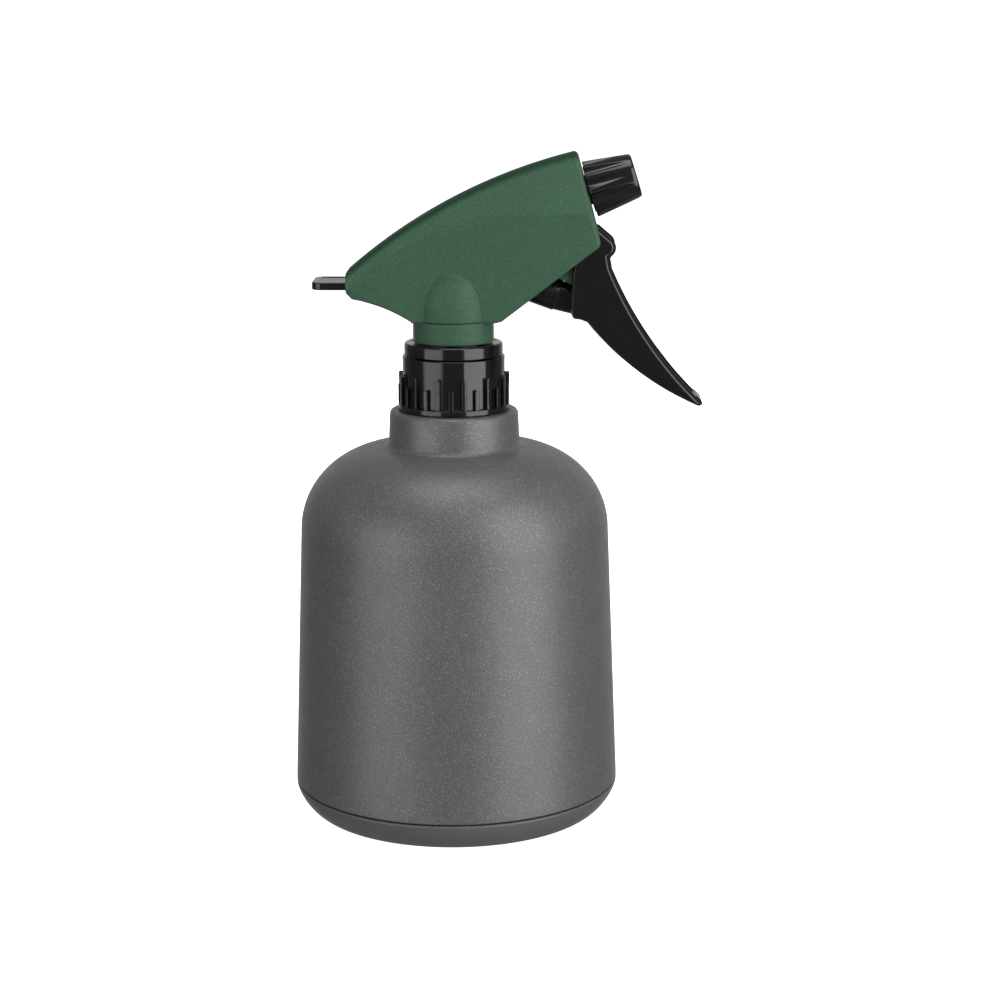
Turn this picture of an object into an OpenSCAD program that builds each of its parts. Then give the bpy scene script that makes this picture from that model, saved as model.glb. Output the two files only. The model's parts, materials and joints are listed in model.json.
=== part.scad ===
// Hand mister: a trigger pump head on a round bottle.
// Millimetres. The origin is the centre of the foot, on the ground. +Z is up and +X is the way it sprays.
// Heights in the head count from the top of the bottle's neck boss, so the head stays on the bottle.

/* [Bottle] */
// Largest diameter of the bottle, at the top of its foot
bottle_d = 100.5; // [98:0.5:103]
// Diameter of the flat that stands on the ground
foot_d = 87.4; // [84:0.2:90]
// Height of the upper end of the tapered wall
wall_top_z = 88.6; // [86:0.2:92]
// Radius of the wall at its upper end
wall_top_r = 47.3; // [46.5:0.1:48]
// Height of the rounded shoulder
shoulder_h = 25.7; // [24:0.1:28]
// Radius of the plain boss below the neck
boss_r = 20.0; // [18.8:0.1:21]
// Height of the plain boss, measured from the shoulder
boss_h = 11.4; // [10:0.1:13]
// Wall thickness of the bottle
bottle_wall = 1.3; // [1:0.1:1.8]
// Height of the joint between the bottle and its base cup
base_joint_z = 9.0; // [8.8:0.1:9.4]

/* [Collar] */
// Radius over the grip ribs
collar_r = 17.0; // [16.8:0.1:17.4]
// Height of the screw collar
collar_h = 16.5; // [16.4:0.05:16.6]
// Number of grip ribs, alternately tall and short
rib_count = 26; // [12:2:30]
// Rise of the neck thread in one turn
neck_lead = 3.2; // [2.8:0.1:3.6]

/* [Shroud] */
// Wall thickness of the shroud
shroud_wall = 1.4; // [1.2:0.1:1.5]
// Half width along the side crease
shroud_half_w = 10.0; // [9.8:0.1:10.6]
// Half width of the top face at the front
top_half_front = 5.6; // [5:0.1:6.5]
// Half width of the top face at the rear
top_half_rear = 8.6; // [8:0.1:9]

/* [Trigger and pump] */
// Half width of the trigger
trigger_half_w = 7.8; // [7.6:0.05:7.8]
// Wall thickness of the trigger
trigger_wall = 1.5; // [1.3:0.1:1.5]
// Radius of the piston
piston_r = 4.85; // [4.75:0.05:4.9]
// Outside radius of the pump cylinder
cylinder_r = 6.5; // [6.3:0.1:6.6]

/* [Nozzle] */
// Radius of the nozzle cap at its back
nozzle_r = 8.6; // [8.2:0.1:9]
// Radius of the nozzle cap at its front
nozzle_front_r = 6.65; // [6.4:0.05:7]
// Length of the nozzle cap
nozzle_len = 14.6; // [14:0.1:15]
// Number of grip flutes
flute_count = 12; // [10:1:14]
// Rise of the nozzle thread in one turn
nozzle_lead = 2.5; // [2.3:0.1:2.7]

/* [Hidden] */
$fn = 64;
eps = 0.01;
fit = 0.05;              // radial running clearance
shoulder_top_z = wall_top_z + shoulder_h;
neck_z = shoulder_top_z + boss_h;
bottle_r = bottle_d / 2;
foot_r = foot_d / 2;
bowl_z = 8.4;            // height where the rounded foot reaches the full radius
neck_r = 12.6;
neck_bore_r = 10.9;
neck_h = 12.9;
collar_bore_r = 14.35;
collar_body_r = 15.6;
collar_gap = 0.1;        // collar's lower edge above the neck boss
roof_h = 1.1;            // thickness of the collar's top
roof_z = collar_h + collar_gap - roof_h;
turret_r = 11.15;        // upright tube of the pump body, inside the shroud's skirt
skirt_r = 12.4;
skirt_z = 20.9;
slit_half_w = [5.0, 3.4];  // slits in the skirt, behind and in front
ring_z = 16.9;
ring_h = 3.8;
ring_r = 15;
flange_z = 14.12;
stem_r = 5.0;
stem_bore_r = 2.6;
stem_top_z = 54.2;
channel_r = 1.5;         // water way through the stem and the barrel
socket_r = 6.6;          // widened foot of the stem, holds the inlet seat
seat_r = 4.98;
tube_r = 3.0;
tube_bore_r = 2.1;
tube_foot_z = 14;        // lower end of the dip tube, above the ground
seat_cone_z = 9.2;
ball_r = 1.9;
ball_z = 10.55;

tongue_z = 37.3;         // underside of the tongue behind the shroud
tongue_h = 2.3;

pivot = [40.4, 52.7];    // trigger pivot, X and height above the neck boss
link = [37.8, 32.65];    // pin that pushes the piston
pin_r = 1.5;
ear_r = 3.0;
pump_slope = 20;         // slope of the pump cylinder below the horizontal, degrees
mouth = [22.0, 38.4];    // open end of the pump cylinder, on its axis
cylinder_len = 22;
cylinder_bore_r = 5.02;
link_p = 16.8;           // link pin, along the pump axis from the mouth
nozzle_base = [41.3, 66.8];
nozzle_tilt = 17;        // nozzle axis above the horizontal, degrees
barrel_r = 4.6;
barrel_rear = -43.2;     // rear end of the barrel along the nozzle axis
nose_r = 4.3;            // threaded nose of the barrel
nose_len = 9.8;
nozzle_bore_r = 5.4;

// ---------- shared geometry ----------

// Points of a circular arc, from angle a0 to a1, in n steps.
function arc(c, r, a0, a1, n) =
    [for (i = [0:n]) c + r * [cos(a0 + (a1 - a0) * i / n), sin(a0 + (a1 - a0) * i / n)]];

// Frames: on the neck, along the pump axis (towards the trigger) and along the nozzle axis.
module on_neck() { translate([0, 0, neck_z]) children(); }
module on_pump() { on_neck() translate([mouth.x, 0, mouth.y]) rotate([0, 90 + pump_slope, 0]) children(); }
module on_nozzle() {
    on_neck() translate([nozzle_base.x, 0, nozzle_base.y]) rotate([0, 90 - nozzle_tilt, 0]) children();
}

// A flat outline in X and height, made half_w thick to each side of the mid plane.
module side_plate(points, half_w) {
    translate([0, half_w, 0]) rotate([90, 0, 0]) linear_extrude(2 * half_w) polygon(points);
}
// A round bar across the mid plane, centred on a point in X and height.
module cross_bar(at, r, half_w) {
    translate([at.x, half_w, at.y]) rotate([90, 0, 0]) cylinder(r = r, h = 2 * half_w);
}
// A ring standing on the XY plane.
module ring(r_out, r_in, h) {
    difference() {
        cylinder(r = r_out, h = h);
        translate([0, 0, -1]) cylinder(r = r_in, h = h + 2);
    }
}

// Closed skin over a row of rings that hold the same number of points.
module skin(rings) {
    m = len(rings[0]);
    last = len(rings) - 1;
    sides = [for (i = [0:last - 1]) for (j = [0:m - 1]) let(k = (j + 1) % m)
        each [[i * m + j, i * m + k, (i + 1) * m + k], [i * m + j, (i + 1) * m + k, (i + 1) * m + j]]];
    caps = [[for (j = [m - 1:-1:0]) j], [for (j = [0:m - 1]) last * m + j]];
    polyhedron(points = [for (r = rings) each r], faces = concat(sides, caps), convexity = 6);
}
// Sweep of a section, given as [radius, height] points, along a right-handed helix.
module helix(section, lead, turns, steps) {
    n = round(turns * steps);
    skin([for (i = [0:n]) let(a = 360 * i / steps)
        [for (p = section) [p[0] * cos(a), p[0] * sin(a), p[1] + lead * i / steps]]]);
}
// Screw ridge that stands on a wall of radius root and ends at radius crest.
module thread(root, crest, lead, turns, width) {
    buried = root + (crest > root ? -0.2 : 0.2);
    w = width / 2;
    ridge = [[buried, -w], [crest, -w / 2], [crest, w / 2], [buried, w]];
    helix(crest > root ? ridge : [for (i = [3:-1:0]) ridge[i]], lead, turns, 24);
}
module coil(r, wire, len, turns) {
    helix([for (a = [0:60:300]) [r + wire * cos(a), wire * sin(a)]], len / turns, turns, 16);
}

// ---------- bottle ----------

// Outer profile of the rounded foot; inset gives the same shape further in.
function foot_profile(inset) =
    [for (a = [0:10:90])
        [foot_r + (bottle_r - foot_r) * pow(sin(a), 2 / 1.4) - inset,
         max(inset, bowl_z * (1 - pow(cos(a), 2 / 1.4)))]];
// Wall, shoulder and boss from the foot to the underside of the neck.
function body_profile(inset) = concat(
    [[wall_top_r - inset, wall_top_z]],
    [for (a = [6:7:83])
        [boss_r + 0.65 - inset + (wall_top_r - boss_r - 0.65) * cos(a), wall_top_z + (shoulder_h - inset) * sin(a)]],
    arc([boss_r + 2 - inset, shoulder_top_z + 2], 2, 270, 180, 6));

module bottle() {
    lip_z = base_joint_z + 0.25;
    plug_r = bottle_r - 1.9;     // part of the bottle that stands inside the base cup
    outside = concat(
        [[0, 1.8], [foot_r - 1.9, 1.8], [plug_r - 2.2, 4.0], [plug_r, 7.2], [plug_r, lip_z],
         [bottle_r - 0.6, lip_z], [bottle_r - 0.02, lip_z + 0.5]],
        body_profile(0),
        [[boss_r - 0.4, neck_z - 1.1], [boss_r - 1.5, neck_z], [neck_r, neck_z], [neck_r, neck_z + neck_h - 0.5],
         [neck_r - 0.5, neck_z + neck_h], [neck_bore_r, neck_z + neck_h]]);
    inside = concat(
        [[neck_bore_r, neck_z - 2], [boss_r - bottle_wall - 0.6, neck_z - 3.5]],
        [for (i = [len(body_profile(0)) - 1:-1:0]) body_profile(bottle_wall)[i]],
        [[bottle_r - bottle_wall, lip_z + 5], [plug_r - bottle_wall, lip_z + 2.5], [plug_r - bottle_wall, 8],
         [plug_r - 3.6, 5], [foot_r - 3.0, 3.1], [0, 3.1]]);
    color("dimgray") {
        rotate_extrude($fn = 96) polygon(concat(outside, inside));
        on_neck() translate([0, 0, 3.4]) thread(neck_r, neck_r + 0.8, neck_lead, 1.6, 1.8);
    }
}

module base_cup() {
    wall = 1.4;
    rim_z = base_joint_z - 0.25;
    outer = concat([[0, 0]], foot_profile(0), [[bottle_r - 0.25, rim_z]]);
    cup_in = bottle_r - 1.85;
    inner = [[cup_in, rim_z], [cup_in, 7.2], [cup_in - 2.2, 3.95], [foot_r - wall - 0.4, 1.72], [0, 1.72]];
    color("dimgray") rotate_extrude($fn = 96) polygon(concat(outer, inner));
}

// ---------- collar, ring and gasket ----------

module grip_rib(top) {
    rib_r = 0.75;
    translate([collar_r - rib_r, 0, 1.2]) cylinder(r = rib_r, h = top - 1.2 - rib_r, $fn = 16);
    translate([collar_r - rib_r, 0, top - rib_r]) sphere(r = rib_r, $fn = 16);
}
module screw_collar() {
    rib_phase = 6;
    tall = 11.3;
    short = 8.0;
    color([0.13, 0.13, 0.14]) on_neck() {
        difference() {
            union() {
                rotate_extrude() polygon([[0, collar_gap], [collar_r - 0.3, collar_gap], [collar_r, collar_gap + 0.3],
                    [collar_r, 1.9], [collar_body_r, 2.1], [collar_body_r, collar_h - 0.4],
                    [collar_body_r - 0.5, collar_h + collar_gap], [0, collar_h + collar_gap]]);
                for (i = [0:rib_count - 1]) {
                    rotate([0, 0, i * 360 / rib_count + rib_phase]) grip_rib(i % 2 == 0 ? tall : short);
                }
            }
            translate([0, 0, -1]) cylinder(r = collar_bore_r, h = roof_z + 1);
            cylinder(r = turret_r + 0.2, h = 30);
        }
        translate([0, 0, 5.2]) thread(collar_bore_r, neck_r + 1.02, neck_lead, 1.6, 1.6);
    }
}
module retaining_ring() {
    bevel = 0.7;
    color([0.13, 0.13, 0.14]) on_neck() translate([0, 0, ring_z]) rotate_extrude()
        polygon([[turret_r + 0.03, 0], [ring_r, 0], [ring_r, ring_h - bevel], [ring_r - bevel, ring_h],
                 [turret_r + 0.03, ring_h]]);
}
module neck_gasket() {
    color("white") on_neck() translate([0, 0, neck_h + 0.02]) ring(12.4, 9.8, 1.15);
}

// ---------- pump body ----------

// Space of the two slits in the shroud's skirt, from height z, made narrower by gap on each side.
module skirt_slits(z, h, gap) {
    reach = 20;
    for (k = [0, 1]) {
        half = slit_half_w[k] - gap;
        translate([reach * (k - 1), -half, z]) cube([reach, 2 * half, h]);
    }
}

// Head of the stem tube, flange and turret. Two keys on the turret fill the slits in the shroud's skirt.
module turret() {
    intersection() {
        translate([0, 0, skirt_z + 0.1]) ring(skirt_r - 0.05, turret_r - 1, 6);
        skirt_slits(0, 40, 0.1);
    }
    rotate_extrude() polygon([[stem_r - 1, flange_z], [13.2, flange_z], [13.2, roof_z - 0.05],
        [turret_r, roof_z - 0.05], [turret_r, 27], [turret_r - 1.5, 27], [turret_r - 1.5, roof_z + 0.6],
        [stem_r - 1, roof_z + 0.6]]);
}
// Plate that closes the rear underside of the shroud, and the tongue that stands out behind it.
module keel() {
    shelf_z = 28.1;
    underside = arc(rear_c - [0, 0.25], rear_arc_r, 76.4, 57, 8);
    upper = arc(rear_c - [0, 0.25], rear_arc_r + 1.5, 59, 76.4, 8);
    side_plate(concat(underside, [[-12.7, shelf_z], [-4, shelf_z], [-4, shelf_z + 1.5]], upper), 7.6);
    side_plate([[-29, 37.4], [-27.2, 34.2], [-24, 33.2], [-24, 39.4], [-29, 39.4]], 7.6);
    translate([-36, 0, tongue_z]) tongue_plate();
}
// Rounded in plan, with a shallow recess on top.
module tongue_plate() {
    half_w = 8.2;
    corner = 3;
    reach = 6.25;
    rim = 2.2;
    difference() {
        union() {
            translate([-reach + corner, -half_w, 0]) cube([11.5, 2 * half_w, tongue_h]);
            translate([-reach, -half_w + corner, 0]) cube([4, 2 * (half_w - corner), tongue_h]);
            for (s = [-1, 1]) {
                translate([-reach + corner, s * (half_w - corner), 0]) cylinder(r = corner, h = tongue_h);
            }
        }
        translate([rim - reach, -half_w + rim, tongue_h - 0.2]) cube([8, 2 * (half_w - rim), 1]);
    }
}
// Two ears that hang from the barrel and hold the trigger's pin.
module pivot_ears() {
    difference() {
        union() {
            side_plate([[34.6, 61], [34.6, 52.2], [38.2, 50.7], pivot + [1.7, 2.2], [39.6, 62.2]], 6);
            cross_bar(pivot, ear_r, 6);
        }
        translate([30, -4.2, 40]) cube([20, 8.4, 21]);
        cross_bar(pivot, pin_r + eps, 9);
    }
}
module pump_body() {
    color([0.12, 0.12, 0.13]) difference() {
        union() {
            on_neck() {
                turret();
                translate([0, 0, 1.5]) cylinder(r = socket_r, h = flange_z);
                translate([0, 0, flange_z]) cylinder(r = stem_r, h = stem_top_z - flange_z);
                keel();
                pivot_ears();
            }
            on_pump() translate([0, 0, -cylinder_len]) cylinder(r = cylinder_r, h = cylinder_len);
            on_nozzle() {
                translate([0, 0, barrel_rear - 4]) cylinder(r = barrel_r, h = -barrel_rear + 3);
                translate([0, 0, -1.1]) cylinder(r = nose_r, h = nose_len + 1.1);
                translate([0, 0, 0.8]) thread(nose_r, nose_r + 0.65, nozzle_lead, 1.6, 1.1);
            }
        }
        on_neck() {
            cylinder(r = seat_r + 0.01, h = 13);
            cylinder(r = stem_bore_r, h = 13.9);
            cylinder(r = channel_r, h = stem_top_z - 0.2);
            translate([0, 0, 15.4]) cylinder(r = stem_bore_r, h = 32);
            // air comes back into the bottle through the flange
            translate([-8, 0, flange_z - 1]) cylinder(r = 0.6, h = 4, $fn = 24);
        }
        on_pump() {
            translate([0, 0, -cylinder_len + 1.5]) cylinder(r = cylinder_bore_r, h = cylinder_len);
            translate([0, 0, -cylinder_len - 3]) cylinder(r = 1.4, h = 6);
        }
        on_nozzle() {
            translate([0, 0, barrel_rear]) cylinder(r = channel_r, h = -barrel_rear);
            translate([0, 0, -3]) cylinder(r = 2.6, h = nose_len + 4);
        }
    }
}

// ---------- inlet side ----------

module inlet_seat() {
    color("lightgray") on_neck() rotate_extrude() polygon([
        [tube_r + 0.03, 1.6], [seat_r, 1.6], [seat_r, 12.9], [stem_bore_r, 12.9], [stem_bore_r, seat_cone_z + 1],
        [1.4, seat_cone_z], [1.4, 8.0], [tube_r + 0.03, 8.0]]);
}
module inlet_ball() {
    color("silver") on_neck() translate([0, 0, ball_z]) sphere(r = ball_r);
}
module dip_tube() {
    top = neck_z + 7.9;
    color("whitesmoke") translate([0, 0, tube_foot_z]) ring(tube_r, tube_bore_r, top - tube_foot_z);
}
module tube_strainer() {
    slot_w = 0.8;
    color("whitesmoke") translate([0, 0, tube_foot_z - 3]) difference() {
        cylinder(r = 4.3, h = 13);
        translate([0, 0, 2.98]) cylinder(r = tube_r + 0.02, h = 20);
        translate([0, 0, 1]) cylinder(r = 2.6, h = 3);
        for (a = [0:45:135]) {
            rotate([0, 0, a]) translate([-6, -slot_w / 2, -1]) cube([12, slot_w, 3.2]);
        }
    }
}

// ---------- shroud ----------

// Heights of the side outline at a given X, above the neck boss.
top_c = [76.78, -82.7];
top_arc_r = 165.7;
crease_c = [31.35, -34.4];
crease_arc_r = 94.8;
rear_c = [-37.63, -10.45];
rear_arc_r = 45.8;
heel_c = [-28.9, 37.5];
heel_r = 3.05;
rear_x = heel_c.x - heel_r;
front_x = 44.5;
face_slope = tan(14.9);
foot_tuck = 0.9;         // how far the outside draws in from the crease to the foot
front_rise = 0.763;
belly_z = 27.4;
function top_h(x) = top_c.y + sqrt(pow(top_arc_r, 2) - pow(x - top_c.x, 2));
function crease_h(x) = crease_c.y + sqrt(pow(crease_arc_r, 2) - pow(x - crease_c.x, 2));
function low_h(x) =
    x < heel_c.x ? heel_c.y - sqrt(max(0, pow(heel_r, 2) - pow(x - heel_c.x, 2))) :
    x < -12.4 ? rear_c.y + sqrt(pow(rear_arc_r, 2) - pow(x - rear_c.x, 2)) :
    max(belly_z, 34.3 + front_rise * (x - 23.3));
// Ribs lean back towards the front, so that the last one is the flat front face.
function lean(x) = face_slope * max(0, x) / front_x;
function rib_x(x, z) = x - lean(x) * (z - 52.2);
function rib_top(x) = let(z1 = top_h(x), z2 = top_h(rib_x(x, z1))) top_h(rib_x(x, z2));
function rib_low(x) = let(z1 = low_h(x), z2 = low_h(rib_x(x, z1))) low_h(rib_x(x, z2));
function rib_crease(x) = let(z1 = crease_h(x)) crease_h(rib_x(x, z1));

// One cross section as a ring, in from the outside by inset and open below by drop.
function rib_ring(x, inset, drop) =
    let(
        t = (x - rear_x) / (front_x - rear_x),
        zt = rib_top(x) - inset,
        zb = rib_low(x) - drop,
        zc = min(zt - 3, max(rib_low(x) + 1.6, rib_crease(x))),
        ht = top_half_rear + (top_half_front - top_half_rear) * t - inset,
        hc = shroud_half_w - inset,
        half = [[hc - (inset > 0 ? 0.5 : foot_tuck), zb], [hc, zc], [ht, zt - 1.6], [ht - 0.5, zt - 0.5], [ht - 1.6, zt]])
    [for (s = [-1, 1]) for (i = [0:4]) let(p = half[s < 0 ? i : 4 - i])
        [rib_x(x, p[1]), s * p[0], p[1]]];

module hood(inset, drop) {
    stations = [-31.4, -30.4, -28.9, -24, -19, -15, -12.4, -4, 4, 13, 15, 22, 30, 38, 43];
    first = rear_x + 0.02 + inset;
    last = front_x - inset;
    between = [for (x = stations) if (x > first + 0.3 && x < last - 0.3) x];
    skin([for (x = concat([first], between, [last])) rib_ring(x, inset, drop)]);
}
// Round boss with a domed top that stands out of both sides, over the neck skirt.
module neck_boss(inset) {
    dome_z = 30.6;
    dome_h = 18.6;
    rotate_extrude() polygon(concat([[0, skirt_z - (inset > 0 ? 1 : 0)], [skirt_r - inset, skirt_z - (inset > 0 ? 1 : 0)]],
        [for (a = [0:7.5:90]) [(skirt_r - inset) * cos(a), dome_z + (dome_h - inset) * sin(a)]]));
}
// Cross bar between the side walls, with a hook that hangs inside the trigger and stops it at rest.
module hook() {
    side_plate([[29.6, 46.4], [33, 46.4], [33, 49], [29.6, 49]], shroud_half_w - 1);
    side_plate([[30.4, 48], [31, 41.1], [33.2, 39.9], [38, 37.6], [38, 44.6], [33.4, 48]], 5.4);
}
module shroud() {
    opening_top = 56.8;
    inner_w = shroud_half_w - shroud_wall - 0.5;
    color([0.25, 0.38, 0.31]) difference() {
        on_neck() difference() {
            union() {
                difference() {
                    union() {
                        hood(0, 0);
                        neck_boss(0);
                    }
                    hood(shroud_wall, 6);
                    neck_boss(skirt_r - turret_r - fit);
                }
                translate([0, 0, skirt_z]) ring(skirt_r, turret_r + fit, belly_z + 0.5 - skirt_z);
                hook();
            }
            // slits that show the pump body's turret
            skirt_slits(skirt_z - 1, 7.2, 0);
            // front opening for the trigger, between the side walls
            translate([37, -inner_w, 40]) cube([12, 2 * inner_w, opening_top - 40]);
            // slot for the pump body's tongue
            translate([-36, -8.3, tongue_z - 0.1]) cube([8, 16.6, tongue_h + 0.2]);
        }
        on_nozzle() translate([0, 0, -8]) cylinder(r = barrel_r + 0.5, h = 12);
    }
}

// ---------- trigger, pins and piston ----------

finger_c = [158.9, 89.6];    // centre of the finger curve
finger_r = 120.0;
palm_c = [108.3, 81.86];     // centre of the rear curve
palm_r = 87.0;
knob_c = [45.95, 49.9];
knob_r = 3.5;
module trigger() {
    outline = concat(
        [[36.1, 30.6], [36.9, 28.9], [38.6, 28.6]],
        arc(palm_c, palm_r, 218.8, 245.6, 12),
        [[73.9, 1.9], [74.8, 1.75], [75.5, 2.15], [75.6, 2.8]],
        arc(finger_c, finger_r, 225.9, 202.4, 12),
        [[46.9, 45.6]],
        arc(knob_c, knob_r, -65, 45, 6),
        [[44.3, 55.9], [42.2, 56.2]],
        arc(pivot, 3.6, 70, 170, 6),
        [[36.6, 41]]);
    hollow = concat(
        [[20, 0]],
        [[palm_c.x - 20, 3.5]],
        arc(finger_c, finger_r + trigger_wall, 224.3, 203.2, 10),
        [[46.0, 46.4]],
        arc(knob_c, knob_r - trigger_wall, -60, 45, 5),
        [[42.4, 55.2], [42.0, 70], [20, 70]]);
    inner_w = trigger_half_w - trigger_wall;
    color([0.14, 0.14, 0.15]) on_neck() difference() {
        side_plate(outline, trigger_half_w);
        intersection() {
            side_plate(hollow, inner_w);
            translate([20, -10, 3.5]) cube([54, 20, 70]);
        }
        cross_bar(pivot, pin_r + 0.06, 10);
        cross_bar(link, pin_r + eps, 10);
    }
}
module trigger_pin() {
    color("silver") on_neck() cross_bar(pivot, pin_r, trigger_half_w - 0.2);
}
module link_pin() {
    color("silver") on_neck() cross_bar(link, pin_r, trigger_half_w - 0.2);
}
module piston() {
    neck_p = 10.5;           // where the round body meets the flat-sided head
    head_end = 20;
    groove = 0.8;
    color([0.12, 0.12, 0.13]) on_pump() difference() {
        union() {
            translate([0, 0, -9]) cylinder(r = piston_r, h = 9 + neck_p);
            intersection() {
                translate([0, 0, neck_p]) cylinder(r1 = piston_r - 0.05, r2 = 3.5, h = head_end - neck_p);
                translate([-10, -3.6, 0]) cube([20, 7.2, 30]);
            }
        }
        translate([0, 0, -10]) cylinder(r = 3.6, h = 10.5);
        translate([0, 0, -8.2]) ring(6, piston_r - groove, 1.6);
        translate([0, 0, -4.2]) ring(6, piston_r - groove, 1.6);
        // slot for the link pin: it lets the pin swing across the pump axis
        for (x = [-0.35, 0, 0.35]) {
            translate([x, 6, link_p]) rotate([90, 0, 0]) cylinder(r = pin_r + 0.4, h = 12);
        }
    }
}
module lip_seal(p) {
    color("black") on_pump() translate([0, 0, p]) ring(cylinder_bore_r - 0.02, piston_r - 0.78, 1.5);
}
module pressure_seal() { lip_seal(-8.15); }
module vent_seal() { lip_seal(-4.15); }
module return_spring() {
    color("silver") on_pump() translate([0, 0, -20.0]) coil(2.9, 0.4, 20, 8);
}

// ---------- outlet side ----------

module outlet_valve() {
    color("white") on_nozzle() rotate_extrude()
        polygon([[0, -3.4], [1.3, -2.96], [2.3, -2.94], [2.3, -1.6], [0.8, -1.6], [0.8, 0.4], [0, 0.4]]);
}
module outlet_spring() {
    color("silver") on_nozzle() translate([0, 0, -1.15]) coil(1.6, 0.3, 5.2, 5);
}
module spinner() {
    color("white") on_nozzle() difference() {
        translate([0, 0, 4.6]) cylinder(r = 2.58, h = 4.9);
        for (a = [0, 120, 240]) {
            rotate([0, 0, a]) translate([2.6, 0, 4]) cylinder(r = 0.7, h = 6, $fn = 24);
        }
        translate([0, 0, 8.9]) cylinder(r = 1.1, h = 2, $fn = 32);
    }
}
module nozzle_seal() {
    color("black") on_nozzle() translate([0, 0, 6.3])
        rotate_extrude() translate([nose_r + 0.55, 0]) circle(r = 0.5, $fn = 24);
}
module nozzle() {
    flute_r = 1.7;
    flute_dip = 1.1;         // how deep a flute is at the back of the cap
    flute_lean = atan((flute_dip + 0.3 + nozzle_r - nozzle_front_r) / nozzle_len) - 1.5;
    color([0.13, 0.13, 0.14]) on_nozzle() difference() {
        union() {
            difference() {
                rotate_extrude() polygon([[0, -0.3], [7, -0.3], [7, 0], [nozzle_r - 0.3, 0], [nozzle_r, 0.3],
                    [nozzle_r, 0.8], [nozzle_front_r + 0.15, nozzle_len - 1.3], [nozzle_front_r - 0.25, nozzle_len - 0.4],
                    [nozzle_front_r - 1, nozzle_len], [0, nozzle_len]]);
                translate([0, 0, -1]) cylinder(r = nozzle_bore_r, h = 11);
                for (i = [0:flute_count - 1]) {
                    rotate([0, 0, (i + 0.5) * 360 / flute_count])
                        translate([nozzle_r + flute_r - flute_dip, 0, 0]) rotate([0, -flute_lean, 0])
                            translate([0, 0, -2]) cylinder(r = flute_r, h = nozzle_len + 4, $fn = 24);
                }
            }
            translate([0, 0, 1.0 + nozzle_lead / 2]) thread(nozzle_bore_r, nose_r + 0.25, nozzle_lead, 1.2, 1.1);
        }
        translate([0, 0, 9]) cylinder(r = 0.8, h = 10, $fn = 32);
        translate([0, 0, 11]) cylinder(r = 3.2, h = 10);
    }
}
module nozzle_insert() {
    color([0.13, 0.13, 0.14]) on_nozzle() difference() {
        translate([0, 0, 11.02]) cylinder(r = 3.18, h = 2.6);
        translate([0, 0, 10]) cylinder(r = 0.3, h = 5, $fn = 24);
        translate([0, 0, 12.6]) cylinder(r1 = 0.3, r2 = 1.6, h = 1.1, $fn = 32);
    }
}

bottle();
base_cup();
neck_gasket();
screw_collar();
retaining_ring();
pump_body();
inlet_seat();
inlet_ball();
dip_tube();
tube_strainer();
shroud();
trigger();
trigger_pin();
link_pin();
piston();
pressure_seal();
vent_seal();
return_spring();
outlet_valve();
outlet_spring();
spinner();
nozzle_seal();
nozzle();
nozzle_insert();
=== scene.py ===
"""Looks of the hand mister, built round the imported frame.

Shapes are worked out in millimetres and made metres by MM when a mesh is made. Heights in the head count
from the top of the bottle's neck boss, as HEAD places them.
"""
import json
import math
import bmesh
import bpy
from mathutils import Matrix, Vector


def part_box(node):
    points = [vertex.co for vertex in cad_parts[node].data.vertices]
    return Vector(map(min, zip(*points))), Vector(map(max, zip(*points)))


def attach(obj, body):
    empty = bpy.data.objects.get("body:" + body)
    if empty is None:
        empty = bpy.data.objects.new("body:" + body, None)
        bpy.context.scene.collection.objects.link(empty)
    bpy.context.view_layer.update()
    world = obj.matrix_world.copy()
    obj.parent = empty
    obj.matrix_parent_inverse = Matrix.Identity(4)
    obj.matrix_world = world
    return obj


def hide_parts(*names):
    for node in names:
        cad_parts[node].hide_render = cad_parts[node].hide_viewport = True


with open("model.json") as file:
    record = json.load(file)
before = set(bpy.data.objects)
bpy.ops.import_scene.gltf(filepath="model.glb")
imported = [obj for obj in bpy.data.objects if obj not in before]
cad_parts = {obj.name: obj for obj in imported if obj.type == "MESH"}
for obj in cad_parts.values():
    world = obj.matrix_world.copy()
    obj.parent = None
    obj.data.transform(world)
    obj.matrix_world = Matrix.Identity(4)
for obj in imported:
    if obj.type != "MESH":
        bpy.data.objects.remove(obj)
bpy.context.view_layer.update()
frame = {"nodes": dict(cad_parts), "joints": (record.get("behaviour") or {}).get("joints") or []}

MM = 0.001
scene = bpy.context.scene
joints = {joint["name"]: joint for joint in frame["joints"]}


def node_box(name):
    """Lowest and highest corner of a CAD node, in millimetres."""
    low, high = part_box(name)
    return low / MM, high / MM


def joint_place(name):
    """Where a hinge's axis passes, in millimetres."""
    return Vector(joints[name]["pos_m"]) / MM


# ---------- places and sizes, from the frame ----------

COLLAR_GAP = 0.1
NECK_Z = node_box("screw_collar")[0].z - COLLAR_GAP
HEAD = Matrix.Translation((0, 0, NECK_Z))
NOZZLE_TILT = 17
PUMP_SLOPE = 20
PUMP_MOUTH = (22.0, 0, 38.4)
# along local Z: out of the nozzle, and along the pump towards the trigger with local X pointing down
NOZZLE = (Matrix.Translation(joint_place("nozzle_turn"))
          @ Matrix.Rotation(math.radians(90 - NOZZLE_TILT), 4, "Y"))
PUMP = HEAD @ Matrix.Translation(PUMP_MOUTH) @ Matrix.Rotation(math.radians(90 + PUMP_SLOPE), 4, "Y")

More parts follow.
